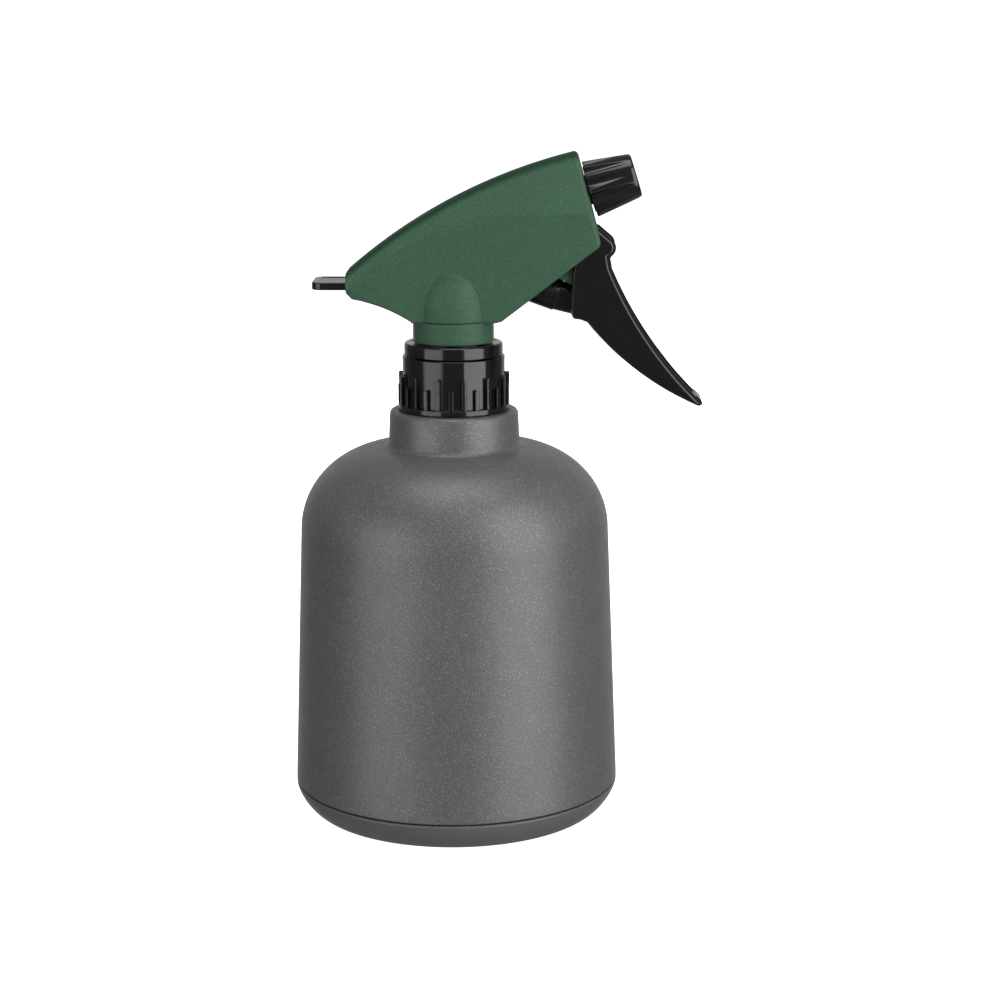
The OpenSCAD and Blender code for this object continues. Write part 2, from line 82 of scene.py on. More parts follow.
BOTTLE_R = node_box("bottle")[1].x
NECK_H = node_box("bottle")[1].z - NECK_Z
NECK_R = 12.6
NECK_BORE_R = 10.9
FOOT_R = 43.7
WALL_TOP_Z = 88.6
WALL_TOP_R = 47.3
SHOULDER_H = 25.7
BOSS_R = 20.0
BOTTLE_WALL = 1.3
BASE_JOINT_Z = node_box("base_cup")[1].z + 0.25
BOWL_Z = 8.4
TURRET_R = 11.15         # upright tube of the pump body, inside the shroud's skirt
STEM_R = 5.0
STEM_BORE_R = 2.6
STEM_TOP_Z = 54.2
FLANGE_Z = 14.12
CHANNEL_R = 1.5          # water way through the stem and the barrel
NECK_LEAD = 3.2          # rise of the neck thread in one turn
NOZZLE_LEAD = 2.5


# ---------- outlines ----------

def arc(centre, radius, start, end, steps):
    """Points of a circular arc, angles in degrees."""
    angles = [math.radians(start + (end - start) * i / steps) for i in range(steps + 1)]
    return [(centre[0] + radius * math.cos(a), centre[1] + radius * math.sin(a)) for a in angles]


def fillet(before, corner, after, radius, steps):
    """Points that round one corner of a polyline."""
    corner = Vector(corner[:2])
    back = Vector(before[:2]) - corner
    on = Vector(after[:2]) - corner
    half = back.angle(on) / 2
    reach = min(radius / math.tan(half), 0.49 * back.length, 0.49 * on.length)
    radius = reach * math.tan(half)
    centre = corner + (back.normalized() + on.normalized()).normalized() * radius / math.sin(half)
    first = corner + back.normalized() * reach - centre
    last = corner + on.normalized() * reach - centre
    turn = math.atan2(first.cross(last), first.dot(last))
    points = []
    for i in range(steps + 1):
        angle = turn * i / steps
        spun = Vector((first.x * math.cos(angle) - first.y * math.sin(angle),
                       first.x * math.sin(angle) + first.y * math.cos(angle)))
        points.append(tuple(centre + spun))
    return points


def rounded(corners, steps=4, closed=False):
    """A polyline whose (x, y, radius) corners are rounded; (x, y) corners stay sharp."""
    points = []
    count = len(corners)
    for i, corner in enumerate(corners):
        end = not closed and i in (0, count - 1)
        if len(corner) == 2 or end:
            points.append(tuple(corner[:2]))
        else:
            points += fillet(corners[i - 1], corner, corners[(i + 1) % count], corner[2], steps)
    return points


def inward(outline, depth, shares=None):
    """A closed anticlockwise outline moved inwards by depth, times each point's share of it."""
    moved = []
    count = len(outline)
    for i in range(count):
        here = Vector(outline[i])
        back = (here - Vector(outline[i - 1])).normalized()
        on = (Vector(outline[(i + 1) % count]) - here).normalized()
        side = Vector((-back.y - on.y, back.x + on.x)).normalized()
        stretch = max(0.5, side.dot(Vector((-back.y, back.x))))
        share = shares[i] if shares else 1
        moved.append(tuple(here + side * depth * share / stretch))
    return moved


def anticlockwise(outline):
    area = sum(a[0] * b[1] - b[0] * a[1] for a, b in zip(outline, outline[1:] + outline[:1]))
    return outline if area > 0 else outline[::-1]


# ---------- skins ----------

def skin(rings, wrap=False, caps=True):
    """Vertices and faces of a skin over equal rings. wrap joins the last ring to the first."""
    count = len(rings[0])
    faces = []
    for i in range(len(rings) if wrap else len(rings) - 1):
        here = i * count
        there = (i + 1) % len(rings) * count
        for j in range(count):
            k = (j + 1) % count
            faces.append((here + j, here + k, there + k, there + j))
    if caps and not wrap:
        faces.append(tuple(range(count)))
        faces.append(tuple((len(rings) - 1) * count + j for j in range(count)))
    return [point for ring in rings for point in ring], faces


def revolve(profile, segments=96, wrap=True):
    """A profile of (radius, height) points turned about Z. Without wrap it starts and ends on the axis."""
    turns = [math.tau * j / segments for j in range(segments)]
    rings = [[(r * math.cos(a), r * math.sin(a), z) for a in turns] for r, z in profile]
    return skin(rings, wrap=wrap, caps=False)


def quarter_round(edge, steps=5):
    """Rise and depth along a rounded rim of radius edge."""
    angles = [math.radians(90 * i / steps) for i in range(steps + 1)]
    return [(edge - edge * math.cos(a), edge - edge * math.sin(a)) for a in angles]


def slab(outline, low, high, edge=0.0, rim=None, shares=None):
    """An outline made solid from low to high along Z, with its rim rounded by edge, or shaped as rim."""
    if anticlockwise(outline) != outline:
        outline = outline[::-1]
        shares = shares and shares[::-1]
    levels = [(low, 0.0), (high, 0.0)]
    if edge or rim:
        up = rim or quarter_round(edge)
        levels = [(low + rise, depth) for rise, depth in up]
        levels += [(high - rise, depth) for rise, depth in reversed(up)]
    rings = [[(x, y, z) for x, y in inward(outline, depth, shares)] for z, depth in levels]
    return skin(rings)


def helix(section, lead, turns, steps=48, taper=0.6):
    """A (radius, height) section swept along a right-handed helix. Its ends sink to the first radius."""
    count = round(turns * steps)
    rings = []
    for i in range(count + 1):
        angle = math.tau * i / steps
        rise = min(1, i / steps / taper * 4, (count - i) / steps / taper * 4)
        rings.append([((section[0][0] + (r - section[0][0]) * rise) * math.cos(angle),
                       (section[0][0] + (r - section[0][0]) * rise) * math.sin(angle),
                       z + lead * i / steps) for r, z in section])
    return skin(rings)


def thread(root, crest, lead, turns, width):
    """The ridge of a screw thread on a wall of radius root."""
    buried = root - 0.3 if crest > root else root + 0.3
    w = width / 2
    return helix([(buried, -w), (crest, -w * 0.45), (crest, w * 0.45), (buried, w)], lead, turns)


# ---------- objects ----------

SHARP = math.radians(32)  # edges that turn more than this are shaded sharp
MERGE = 2e-7              # metres: points closer than this are one point


def solid(shape, place=Matrix()):
    """An object from vertices in millimetres and faces, set in place."""
    verts, faces = shape
    mesh = bpy.data.meshes.new("part")
    mesh.from_pydata([(place @ Vector(v)) * MM for v in verts], [], faces)
    work = bmesh.new()
    work.from_mesh(mesh)
    bmesh.ops.remove_doubles(work, verts=work.verts, dist=MERGE)
    bmesh.ops.recalc_face_normals(work, faces=work.faces)
    work.to_mesh(mesh)
    work.free()
    obj = bpy.data.objects.new("part", mesh)
    scene.collection.objects.link(obj)
    return obj


SIDEWAYS = Matrix.Rotation(math.radians(90), 4, "X")


def plate(outline, half_width, place=HEAD, edge=0.0, rim=None, shares=None):
    """A solid from an outline in X and height, half_width to each side of the mid plane."""
    return solid(slab(outline, -half_width, half_width, edge, rim, shares), place @ SIDEWAYS)


def bar(radius, low, high, place, segments=64, edge=0.0):
    """A round solid along the Z axis of place."""
    profile = [(0, low), (radius, low), (radius, high), (0, high)]
    if edge:
        profile = rounded([(0, low), (radius, low, edge), (radius, high, edge), (0, high)])
    return solid(revolve(profile, segments, wrap=False), place)


def block(low, high, place=HEAD):
    """A box between two corners, used to cut with."""
    outline = [(low[0], low[1]), (high[0], low[1]), (high[0], high[1]), (low[0], high[1])]
    return solid(slab(outline, low[2], high[2]), place)


def settle(obj):
    """Turns an object's modifiers into its mesh."""
    graph = bpy.context.evaluated_depsgraph_get()
    mesh = bpy.data.meshes.new_from_object(obj.evaluated_get(graph))
    obj.modifiers.clear()
    obj.data = mesh
    return obj


def combine(base, operation, tools):
    """base with the tools joined on, cut away or kept in common. The tools are used up."""
    for tool in tools:
        change = base.modifiers.new(operation, "BOOLEAN")
        change.operation = operation
        change.solver = "EXACT"
        change.object = tool
    settle(base)
    for tool in tools:
        bpy.data.objects.remove(tool)
    return base


def join(base, *tools):
    return combine(base, "UNION", tools)


def cut(base, *tools):
    return combine(base, "DIFFERENCE", tools)


def show(obj, name, material, body, *nodes):
    """Finishes a piece: its name, shading, material, body, and the CAD nodes that it stands for."""
    obj.name = name
    obj.data.name = name
    for face in obj.data.polygons:
        face.use_smooth = True
    obj.data.set_sharp_from_angle(angle=SHARP)
    even = obj.modifiers.new("even_normals", "WEIGHTED_NORMAL")
    even.keep_sharp = True
    obj.data.materials.clear()
    obj.data.materials.append(material)
    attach(obj, body)
    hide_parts(*nodes)
    return obj


# ---------- materials ----------

def add_node(material, kind, settings=None, **inputs):
    """A shader node with its settings and unlinked inputs; an input that is a socket is linked."""
    node = material.node_tree.nodes.new(kind)
    for key, value in (settings or {}).items():
        setattr(node, key, value)
    for key, value in inputs.items():
        socket = node.inputs[key.replace("_", " ")]
        if isinstance(value, bpy.types.NodeSocket):
            material.node_tree.links.new(value, socket)
        else:
            socket.default_value = value
    return node


def blank_material(name):
    material = bpy.data.materials.new(name)
    material.use_nodes = True
    material.node_tree.nodes.clear()
    return material


def finish_material(material, shader):
    out = add_node(material, "ShaderNodeOutputMaterial")
    material.node_tree.links.new(shader.outputs[0], out.inputs["Surface"])
    return material


def noise(material, where, size, detail=2.0, roughness=0.5):
    """Noise whose grains are about size millimetres across."""
    return add_node(material, "ShaderNodeTexNoise", Vector=where, Scale=1 / (size * MM), Detail=detail,
                    Roughness=roughness).outputs["Fac"]


def remap(material, value, low, high, to_low, to_high):
    node = add_node(material, "ShaderNodeMapRange", {"clamp": True}, Value=value)
    for key, number in (("From Min", low), ("From Max", high), ("To Min", to_low), ("To Max", to_high)):
        node.inputs[key].default_value = number
    return node.outputs["Result"]


def mix_colour(material, amount, first, second):
    node = add_node(material, "ShaderNodeMix", {"data_type": "RGBA"})
    material.node_tree.links.new(amount, node.inputs["Factor"])
    for socket, value in ((node.inputs[6], first), (node.inputs[7], second)):
        if isinstance(value, bpy.types.NodeSocket):
            material.node_tree.links.new(value, socket)
        else:
            socket.default_value = (*value, 1)
    return node.outputs[2]


FLECK_SIZE = 0.27        # millimetres between flecks


def moulded(name, colour, roughness, fleck=(), fleck_amount=0.0, fleck_share=0.5, grain=0.0, soft_edge=0.25,
            shaded_top_level=1.0, **extra):
    """Moulded plastic: cloudy colour, pale flecks, a fine-textured surface and softened edges.

    The cells above fleck_share of the random range hold a fleck. shaded_top_level is painted shade on faces
    that look up: it is how bright their colour stays; their gloss goes down with it, a painted darkening of
    their reflection.
    """
    material = blank_material(name)
    where = add_node(material, "ShaderNodeTexCoord").outputs["Object"]
    cloud = noise(material, where, 18, 3)
    tint = mix_colour(material, remap(material, cloud, 0.3, 0.7, 0, 1),
                      tuple(c * 0.95 for c in colour), tuple(c * 1.05 for c in colour))
    if fleck:
        cells = add_node(material, "ShaderNodeTexVoronoi", Vector=where, Scale=1 / (FLECK_SIZE * MM))
        near = remap(material, cells.outputs["Distance"], 0.14, 0.40, 1, 0)
        picked = add_node(material, "ShaderNodeSeparateColor", Color=cells.outputs["Color"]).outputs[0]
        strength = remap(material, picked, fleck_share, 1.0, 0, fleck_amount)
        spot = add_node(material, "ShaderNodeMath", {"operation": "MULTIPLY"})
        material.node_tree.links.new(near, spot.inputs[0])
        material.node_tree.links.new(strength, spot.inputs[1])
        tint = mix_colour(material, spot.outputs[0], tint, fleck)
    # painted shade: the colour of faces that look up is darkened, standing in for the dark above the object
    if shaded_top_level < 1:
        facing = add_node(material, "ShaderNodeNewGeometry").outputs["Normal"]
        upward = add_node(material, "ShaderNodeSeparateXYZ", Vector=facing).outputs["Z"]
        shade = add_node(material, "ShaderNodeVectorMath", {"operation": "SCALE"})
        material.node_tree.links.new(tint, shade.inputs[0])
        material.node_tree.links.new(remap(material, upward, 0.3, 0.7, 1.0, shaded_top_level), shade.inputs["Scale"])
        tint = shade.outputs[0]
    rough = remap(material, noise(material, where, 6, 4), 0.3, 0.7, roughness * 0.92, roughness * 1.08)
    normal = add_node(material, "ShaderNodeBevel", {"samples": 4}, Radius=soft_edge * MM).outputs[0]
    if grain:
        height = noise(material, where, 0.3, 2, 0.6)
        normal = add_node(material, "ShaderNodeBump", Strength=grain, Distance=0.03 * MM, Height=height,
                          Normal=normal).outputs[0]
    shader = add_node(material, "ShaderNodeBsdfPrincipled", Base_Color=tint, Roughness=rough, Normal=normal)
    for key, value in extra.items():
        shader.inputs[key.replace("_", " ")].default_value = value
    # painted shade on the reflection: the gloss of faces that look up fades with their colour
    if shaded_top_level < 1:
        level = shader.inputs["Specular IOR Level"]
        gloss = remap(material, upward, 0.3, 0.7, level.default_value, level.default_value * 0.05)
        material.node_tree.links.new(gloss, level)
    return finish_material(material, shader)


def brushed_steel(name):
    """Drawn spring wire and ground pins: fine streaks in the roughness."""
    material = blank_material(name)
    where = add_node(material, "ShaderNodeTexCoord").outputs["Object"]
    streaks = noise(material, where, 0.35, 5, 0.7)
    tint = mix_colour(material, streaks, (0.50, 0.50, 0.51), (0.66, 0.66, 0.67))
    rough = remap(material, streaks, 0.3, 0.7, 0.2, 0.36)
    bump = add_node(material, "ShaderNodeBump", Strength=0.15, Distance=0.02 * MM, Height=streaks).outputs[0]
    shader = add_node(material, "ShaderNodeBsdfPrincipled", Base_Color=tint, Roughness=rough, Metallic=1.0,
                      Normal=bump)
    return finish_material(material, shader)


BOTTLE_GREY = (0.072, 0.072, 0.073)
BASE_GREY = (0.095, 0.095, 0.096)
PALE_FLECK = (0.46, 0.46, 0.46)
HOOD_GREEN = (0.029, 0.079, 0.044)
GREEN_FLECK = (0.20, 0.30, 0.25)

materials = {
    "bottle_grey": moulded("bottle_grey", BOTTLE_GREY, 0.42, PALE_FLECK, 1.0, 0.4, 0.30,
                           Specular_IOR_Level=0.65),
    "base_grey": moulded("base_grey", BASE_GREY, 0.36, grain=0.10),
    # the hood's upward faces get painted shade: their colour and gloss are darkened
    "hood_green": moulded("hood_green", HOOD_GREEN, 0.56, GREEN_FLECK, 0.75, 0.62, 0.35, 0.3, shaded_top_level=0.6,
                          Specular_IOR_Level=0.3),
    "black_gloss": moulded("black_gloss", (0.006, 0.006, 0.0065), 0.14, grain=0.04, soft_edge=0.1),
    "black_satin": moulded("black_satin", (0.005, 0.005, 0.0053), 0.22, grain=0.08, soft_edge=0.15),
    "white_plastic": moulded("white_plastic", (0.72, 0.71, 0.67), 0.35, grain=0.08, Subsurface_Weight=0.2,
                             Subsurface_Scale=0.001),
    "clear_tube": moulded("clear_tube", (0.80, 0.82, 0.80), 0.22, grain=0.05, Transmission_Weight=0.75,
                          IOR=1.5),
    "black_rubber": moulded("black_rubber", (0.022, 0.022, 0.023), 0.62, grain=0.35),
    "steel": brushed_steel("steel"),
}


# ---------- bottle ----------

def foot_profile():
    """The rounded foot, from the ground up to the joint."""
    steps = 18
    angles = [math.radians(90 * i / steps) for i in range(steps + 1)]
    bulge = 2 / 1.4
    return [(FOOT_R + (BOTTLE_R - FOOT_R) * math.sin(a) ** bulge, BOWL_Z * (1 - math.cos(a) ** bulge))
            for a in angles]


def body_profile(inset):
    """Wall, shoulder and the foot of the boss."""
    crown_r = WALL_TOP_R - BOSS_R - 0.65
    shoulder = [(BOSS_R + 0.65 - inset + crown_r * math.cos(math.radians(a)),
                 WALL_TOP_Z + (SHOULDER_H - inset) * math.sin(math.radians(a))) for a in range(3, 85, 3)]
    foot = arc((BOSS_R + 2 - inset, WALL_TOP_Z + SHOULDER_H + 2), 2, 270, 180, 8)
    return [(WALL_TOP_R - inset, WALL_TOP_Z)] + shoulder + foot


def bottle():
    lip_z = BASE_JOINT_Z + 0.25
    plug_r = BOTTLE_R - 1.88
    bottom = rounded([(0, 1.8), (FOOT_R - 1.9, 1.8, 1), (plug_r - 2.2, 4.0, 1.5), (plug_r, 7.2, 1),
                      (plug_r, lip_z, 0.2), (BOTTLE_R - 0.01, lip_z, 0.3), (BOTTLE_R - 0.05, lip_z + 2)])
    neck = rounded([(BOSS_R, NECK_Z - 9), (BOSS_R - 0.4, NECK_Z, 1.3), (NECK_R, NECK_Z, 0.3),
                    (NECK_R, NECK_Z + NECK_H, 0.6), (NECK_BORE_R, NECK_Z + NECK_H, 0.4),
                    (NECK_BORE_R, NECK_Z - 2)])
    inside = [(BOSS_R - BOTTLE_WALL - 0.6, NECK_Z - 3.5)] + body_profile(BOTTLE_WALL)[::-1]
    floor = [(BOTTLE_R - BOTTLE_WALL, lip_z + 5), (plug_r - BOTTLE_WALL, lip_z + 2.5),
             (plug_r - BOTTLE_WALL, 8), (plug_r - 3.6, 5), (FOOT_R - 3.0, 3.1), (0, 3.1)]
    profile = bottom + body_profile(0) + neck + inside + floor
    body = solid(revolve(profile, 180, wrap=False))
    ridge = solid(thread(NECK_R, NECK_R + 0.8, NECK_LEAD, 1.6, 1.8), HEAD @ Matrix.Translation((0, 0, 3.4)))
    show(join(body, ridge), "bottle_shell", materials["bottle_grey"], "bottle_body", "bottle")


def base_cup():
    rim_z = BASE_JOINT_Z - 0.25
    cup_r = BOTTLE_R - 1.83
    outside = foot_profile()[:-1]
    rim = rounded([outside[-1], (BOTTLE_R, rim_z - 0.3, 0.2), (BOTTLE_R - 0.3, rim_z, 0.3),
                   (cup_r, rim_z, 0.15), (cup_r, 7.2, 1), (cup_r - 2.2, 3.95, 1.5),
                   (FOOT_R - 1.8, 1.72, 1), (0, 1.72)])
    # three shallow steps under the foot, so that the cup stands on its rim
    under = rounded([(0, 0.55), (30, 0.55, 0.3), (30.6, 0.2, 0.2), (37.6, 0.2, 0.2), (38.2, 0.0, 0.2),
                     (43.0, 0.0)])
    show(solid(revolve(under + outside + rim[1:], 180, wrap=False)), "base_cup_shell", materials["base_grey"],
         "bottle_body", "base_cup")


# ---------- collar and ring ----------

COLLAR_R = 17.0          # over the grip ribs
COLLAR_BODY_R = 15.6
COLLAR_BORE_R = 14.35
COLLAR_TOP_Z = 16.6
RIB_COUNT = 26
RIB_TALL = 11.3
RIB_SHORT = 8.0
RIB_PHASE = 6
RIB_HALF = 0.68          # half width of a rib, and the radius of its round top


def collar_ring(z, base_r, rib_r=COLLAR_R, soft=0.2):
    """One level of the collar: the ribs stand out of base_r while the level is below their round tops."""
    pitch = math.tau / RIB_COUNT
    height = rib_r - base_r + 1e-6
    ring = []
    for i in range(RIB_COUNT):
        top = RIB_TALL if i % 2 == 0 else RIB_SHORT
        rise = z - (top - RIB_HALF)
        width = RIB_HALF if rise < 0 else math.sqrt(max(0.0004, RIB_HALF * RIB_HALF - rise * rise))
        stands = 1.0 if z < top - 0.02 else 0.0
        edge = min(soft, width * 0.5)
        # across the rib: rounded edges of radius edge, then the foot and the plain wall
        across = [(0, 1), (width - edge, 1)]
        across += [(width - edge + edge * math.sin(a), 1 - (edge * (1 - math.cos(a))) / height)
                   for a in (math.radians(30), math.radians(60), math.radians(85))]
        across += [(width + 0.04, 0.0), (width + 0.3, 0.0), (1.4, 0.0)]
        side = [(s, max(0.0, h) * stands) for s, h in across]
        for s, h in [(-s, h) for s, h in side[:0:-1]] + side:
            angle = math.radians(RIB_PHASE) + pitch * i + s / rib_r
            r = base_r + (rib_r - base_r) * h
            ring.append((r * math.cos(angle), r * math.sin(angle), z))
    return ring


def collar_levels():
    """Heights with the collar's plain radius: fine steps where the rib tops are round."""
    tops = [t - RIB_HALF + RIB_HALF * math.sin(math.radians(a))
            for t in (RIB_SHORT, RIB_TALL) for a in range(0, 91, 9)]
    tops += [RIB_SHORT + 0.01, RIB_TALL + 0.01]
    outside = rounded([(16.2, COLLAR_GAP), (COLLAR_R, COLLAR_GAP, 0.3), (COLLAR_R, 1.9, 0.22),
                       (COLLAR_BODY_R, 2.0, 0.1), (COLLAR_BODY_R, 3.5)])
    plain = [(COLLAR_BODY_R, z) for z in sorted(tops)]
    upper = rounded([(COLLAR_BODY_R, 13.5), (COLLAR_BODY_R, COLLAR_TOP_Z, 0.5), (15.0, COLLAR_TOP_Z)])
    inside = rounded([(15.0, COLLAR_TOP_Z), (TURRET_R + 0.2, COLLAR_TOP_Z, 0.3), (TURRET_R + 0.2, 15.5, 0.2),
                      (COLLAR_BORE_R, 15.5, 0.3), (COLLAR_BORE_R, COLLAR_GAP, 0.4), (16.2, COLLAR_GAP)])
    return outside + plain + upper, inside[1:-1]


def screw_collar():
    outer, inner = collar_levels()
    rings = [collar_ring(z, r) if 1.95 < z < 12 else collar_ring(z, r, rib_r=r) for r, z in outer]
    count = len(rings[0])
    angles = [math.atan2(p[1], p[0]) for p in rings[0]]
    rings += [[(r * math.cos(a), r * math.sin(a), z) for a in angles] for r, z in inner]
    body = solid(skin(rings, wrap=True), HEAD)
    ridge = solid(thread(COLLAR_BORE_R, NECK_R + 1.05, NECK_LEAD, 1.6, 1.6),
                  HEAD @ Matrix.Translation((0, 0, 5.2)))
    show(join(body, ridge), "screw_collar_shell", materials["black_gloss"], "collar", "screw_collar")


def retaining_ring():
    low, high = node_box("retaining_ring")
    low_z = low.z - NECK_Z
    high_z = high.z - NECK_Z
    profile = rounded([(TURRET_R + 0.03, low_z), (high.x, low_z, 0.35), (high.x, high_z, 0.75),
                       (13.2, high_z, 0.2), (13.0, high_z - 0.25, 0.1), (TURRET_R + 0.03, high_z - 0.25)],
                      steps=6)
    show(solid(revolve(profile, 144), HEAD), "retaining_ring_shell", materials["black_gloss"], "head",
         "retaining_ring")


# ---------- shroud ----------

HEEL = (-28.9, 37.5)
HEEL_R = 3.05
REAR_ARC = (-37.63, -10.45)
REAR_ARC_R = 45.8
REAR_X = HEEL[0] - HEEL_R
FRONT_X = 44.5
FACE_SLOPE = math.tan(math.radians(14.9))
HOOD_WALL = 1.4
FOOT_TUCK = 1.1          # how far the side walls draw in below the crease
CREASE_HOLLOW = 0.2      # how far the upper faces sink in between the crease and the top
FACE_STEPS = 10
SKIRT_R = 12.4
SKIRT_Z = 20.9
SLIT_REAR = 5.0          # half widths of the slits in the skirt
SLIT_FRONT = 3.4
BELLY_Z = 27.4
SEAM_Z = 27.68           # parting groove round the boss
SEAM_DEPTH = 0.3
SEAM_HALF = 0.23


def on_arc(centre, radius, x):
    return centre[1] + math.sqrt(max(0, radius ** 2 - (x - centre[0]) ** 2))


def top_height(x):
    return on_arc((76.78, -82.7), 165.7, x)


def crease_height(x):
    return on_arc((31.35, -34.4), 94.8, x)


def low_height(x):
    if x < HEEL[0]:
        return HEEL[1] - math.sqrt(max(0, HEEL_R ** 2 - (x - HEEL[0]) ** 2))
    if x < -12.4:
        return on_arc(REAR_ARC, REAR_ARC_R, x)
    return max(BELLY_Z, 34.3 + 0.763 * (x - 23.3))


def leaning(x, z):
    """Sections lean back towards the front, so that the last one is the sloping front face."""
    return x - FACE_SLOPE * max(0, x) / FRONT_X * (z - 52.2)


def at_section(height, x):
    """Where a section that starts at x meets an outline height."""
    z = height(x)
    for _ in range(3):
        z = height(leaning(x, z))
    return z


def spaced(points, start, end, count):
    """The polyline with count equal steps put between two of its neighbouring points."""
    a = Vector(points[start])
    b = Vector(points[end])
    between = [tuple(a.lerp(b, k / count)) for k in range(1, count)]
    return points[:start + 1] + between + points[end:]


def hood_section(x, inset, drop, crease_r=2.0, top_r=3.4, foot_r=0.7):
    """One cross section of the hood, from the left foot over the top to the right foot."""
    t = (x - REAR_X) / (FRONT_X - REAR_X)
    top = at_section(top_height, x) - inset
    low = at_section(low_height, x) - drop
    crease = min(top - 3, max(low + drop + 1.6, at_section(crease_height, x)))
    half_top = 8.6 - 3.0 * t - inset
    half = 10.0 - inset
    foot_half = half - (0.5 if inset >= HOOD_WALL else FOOT_TUCK)
    side = rounded([(foot_half - 1.2, low), (foot_half, low, foot_r), (half, crease, crease_r),
                    (half_top, top, top_r), (0, top)], steps=7)
    side = spaced(side, 16, 17, FACE_STEPS)
    side = spaced(side, 8, 9, FACE_STEPS)
    for k in range(1, FACE_STEPS):
        sink = CREASE_HOLLOW * (0.7 + 0.9 * max(0, t - 0.4)) * math.sin(math.pi * (k / FACE_STEPS) ** 0.8)
        y, z = side[15 + FACE_STEPS + k]
        side[15 + FACE_STEPS + k] = (y - sink, z)
    across = side + [(-y, z) for y, z in side[-2::-1]]
    return [(leaning(x, z), y, z) for y, z in across]


def hood(inset, drop, soft):
    """The hood as a closed solid; its ends are rounded by soft."""
    first = REAR_X + 0.02 + inset
    last = FRONT_X - inset
    heel = [HEEL[0] - HEEL_R * math.cos(math.radians(a)) for a in range(35, 91, 8)]
    middle = [-26 + 1.5 * i for i in range(47)] + [-12.4, 15.0, 16.2]
    between = sorted(x for x in heel + middle if first + soft + 0.2 < x < last - soft - 0.2)
    quarter = [math.radians(15 * i) for i in range(7)]
    ends = [(1 - math.cos(a), 1 - math.sin(a)) for a in quarter] if soft else [(0, 0)]
    stations = [(first + along * soft * 0.15, shrink * soft * 0.15) for along, shrink in ends]
    stations += [(x, 0) for x in between]
    stations += [(last - along * soft, shrink * soft) for along, shrink in reversed(ends)]
    lift = 0 if drop else 1
    sections = [hood_section(x, inset + shrink, drop - shrink * lift) for x, shrink in stations]
    return solid(skin(sections), HEAD)


def neck_boss(inset):
    """The domed boss that stands out of both sides over the neck, with its parting groove."""
    low = SKIRT_Z if not inset else SKIRT_Z - 1
    r = SKIRT_R - inset
    dome = [(r * math.cos(math.radians(a)), 30.6 + (18.6 - inset) * math.sin(math.radians(a)))
            for a in range(0, 91, 5)]
    dome[-1] = (0, dome[-1][1])
    groove = [] if inset else [(r, SEAM_Z - SEAM_HALF), (r - SEAM_DEPTH, SEAM_Z), (r, SEAM_Z + SEAM_HALF)]
    foot = [(0, low), (r, low)] if inset else rounded([(0, low), (r, low, 0.35), (r, 27)])[:-1]
    return solid(revolve(foot + groove + dome, 128, wrap=False), HEAD)


def skirt_slits():
    """Cutters for the slits in the skirt; the flaps' lower corners are rounded."""
    across = Matrix.Rotation(math.radians(90), 4, "Z") @ SIDEWAYS
    cutters = []
    for half, near, far in ((SLIT_REAR, -20, 0), (SLIT_FRONT, 0, 20)):
        wide = half + 2.5
        outline = rounded([(half, 27.0, 0.5), (-half, 27.0, 0.5), (-half, SKIRT_Z, 1.2), (-wide, SKIRT_Z),
                           (-wide, 18), (wide, 18), (wide, SKIRT_Z), (half, SKIRT_Z, 1.2)], closed=True)
        cutters.append(solid(slab(outline, near, far), HEAD @ across))
    return cutters


def hook():
    """Cross bar between the side walls, with a hook that hangs inside the trigger."""
    beam = plate([(29.6, 46.4), (33, 46.4), (33, 49), (29.6, 49)], 8.7)
    outline = [(30.4, 48), (31, 41.1, 0.6), (33.2, 39.9, 0.6), (38, 37.6, 0.6), (38, 44.6, 0.6), (33.4, 48)]
    return join(beam, plate(rounded(outline, closed=True), 5.4, edge=0.3))


def shroud():
    body = join(hood(0, 0, 1.5), neck_boss(0))
    cut(body, hood(HOOD_WALL, 6, 0), neck_boss(SKIRT_R - TURRET_R - 0.05))
    inner_r = TURRET_R + 0.05
    outer_r = SKIRT_R - 0.02
    tube = solid(revolve([(inner_r, SKIRT_Z), (SKIRT_R - 0.35, SKIRT_Z), (outer_r, SKIRT_Z + 0.3),
                          (outer_r, SEAM_Z - SEAM_HALF), (SKIRT_R - SEAM_DEPTH, SEAM_Z),
                          (SKIRT_R - SEAM_DEPTH, SEAM_Z + 0.2), (inner_r, SEAM_Z + 0.2)], 128), HEAD)
    join(body, tube, hook())
    half_opening = 10.0 - HOOD_WALL - 0.5
    cut(body, *skirt_slits(),
        block((37, -half_opening, 40), (49, half_opening, 56.8)),
        block((-36, -8.3, 37.2), (-28, 8.3, 39.7)),
        bar(5.1, -8, 4, NOZZLE))
    show(body, "shroud_shell", materials["hood_green"], "head", "shroud")


# ---------- trigger ----------

PIVOT = (40.4, 52.7)
LINK = (37.8, 32.65)
TRIGGER_HALF = 7.8
TRIGGER_WALL = 1.5
FINGER_ARC = (158.9, 89.6)   # centre of the long curve that the fingers pull
FINGER_R = 120.0
KNOB = (45.95, 49.9)         # centre of the round head over the finger side
PIN_SKIN = 0.16              # what the trigger's sides keep over the ends of the two pins


def trigger_outline():
    """The outline in two stretches: lug, palm side and tip, then finger side, knob and crown."""
    palm = arc((108.3, 81.86), 87.0, 218.8, 245.6, 28)
    finger = arc(FINGER_ARC, FINGER_R, 225.9, 202.4, 30)
    knob = arc(KNOB, 3.5, -65, 45, 10)
    crown = arc(PIVOT, 3.6, 70, 170, 10)
    lug = rounded([(35.9, 41), (35.5, 30.2, 1.2), (36.3, 28.4, 1.0), (38.6, 28.1, 1.5), palm[0]])
    tip = rounded([palm[-1], (73.9, 1.9), (74.8, 1.75, 0.5), (75.55, 2.2, 0.5), (75.6, 2.8), finger[0]])
    return lug[:-1] + palm + tip[1:-1], finger + knob + [(44.3, 55.9), (42.2, 56.2)] + crown


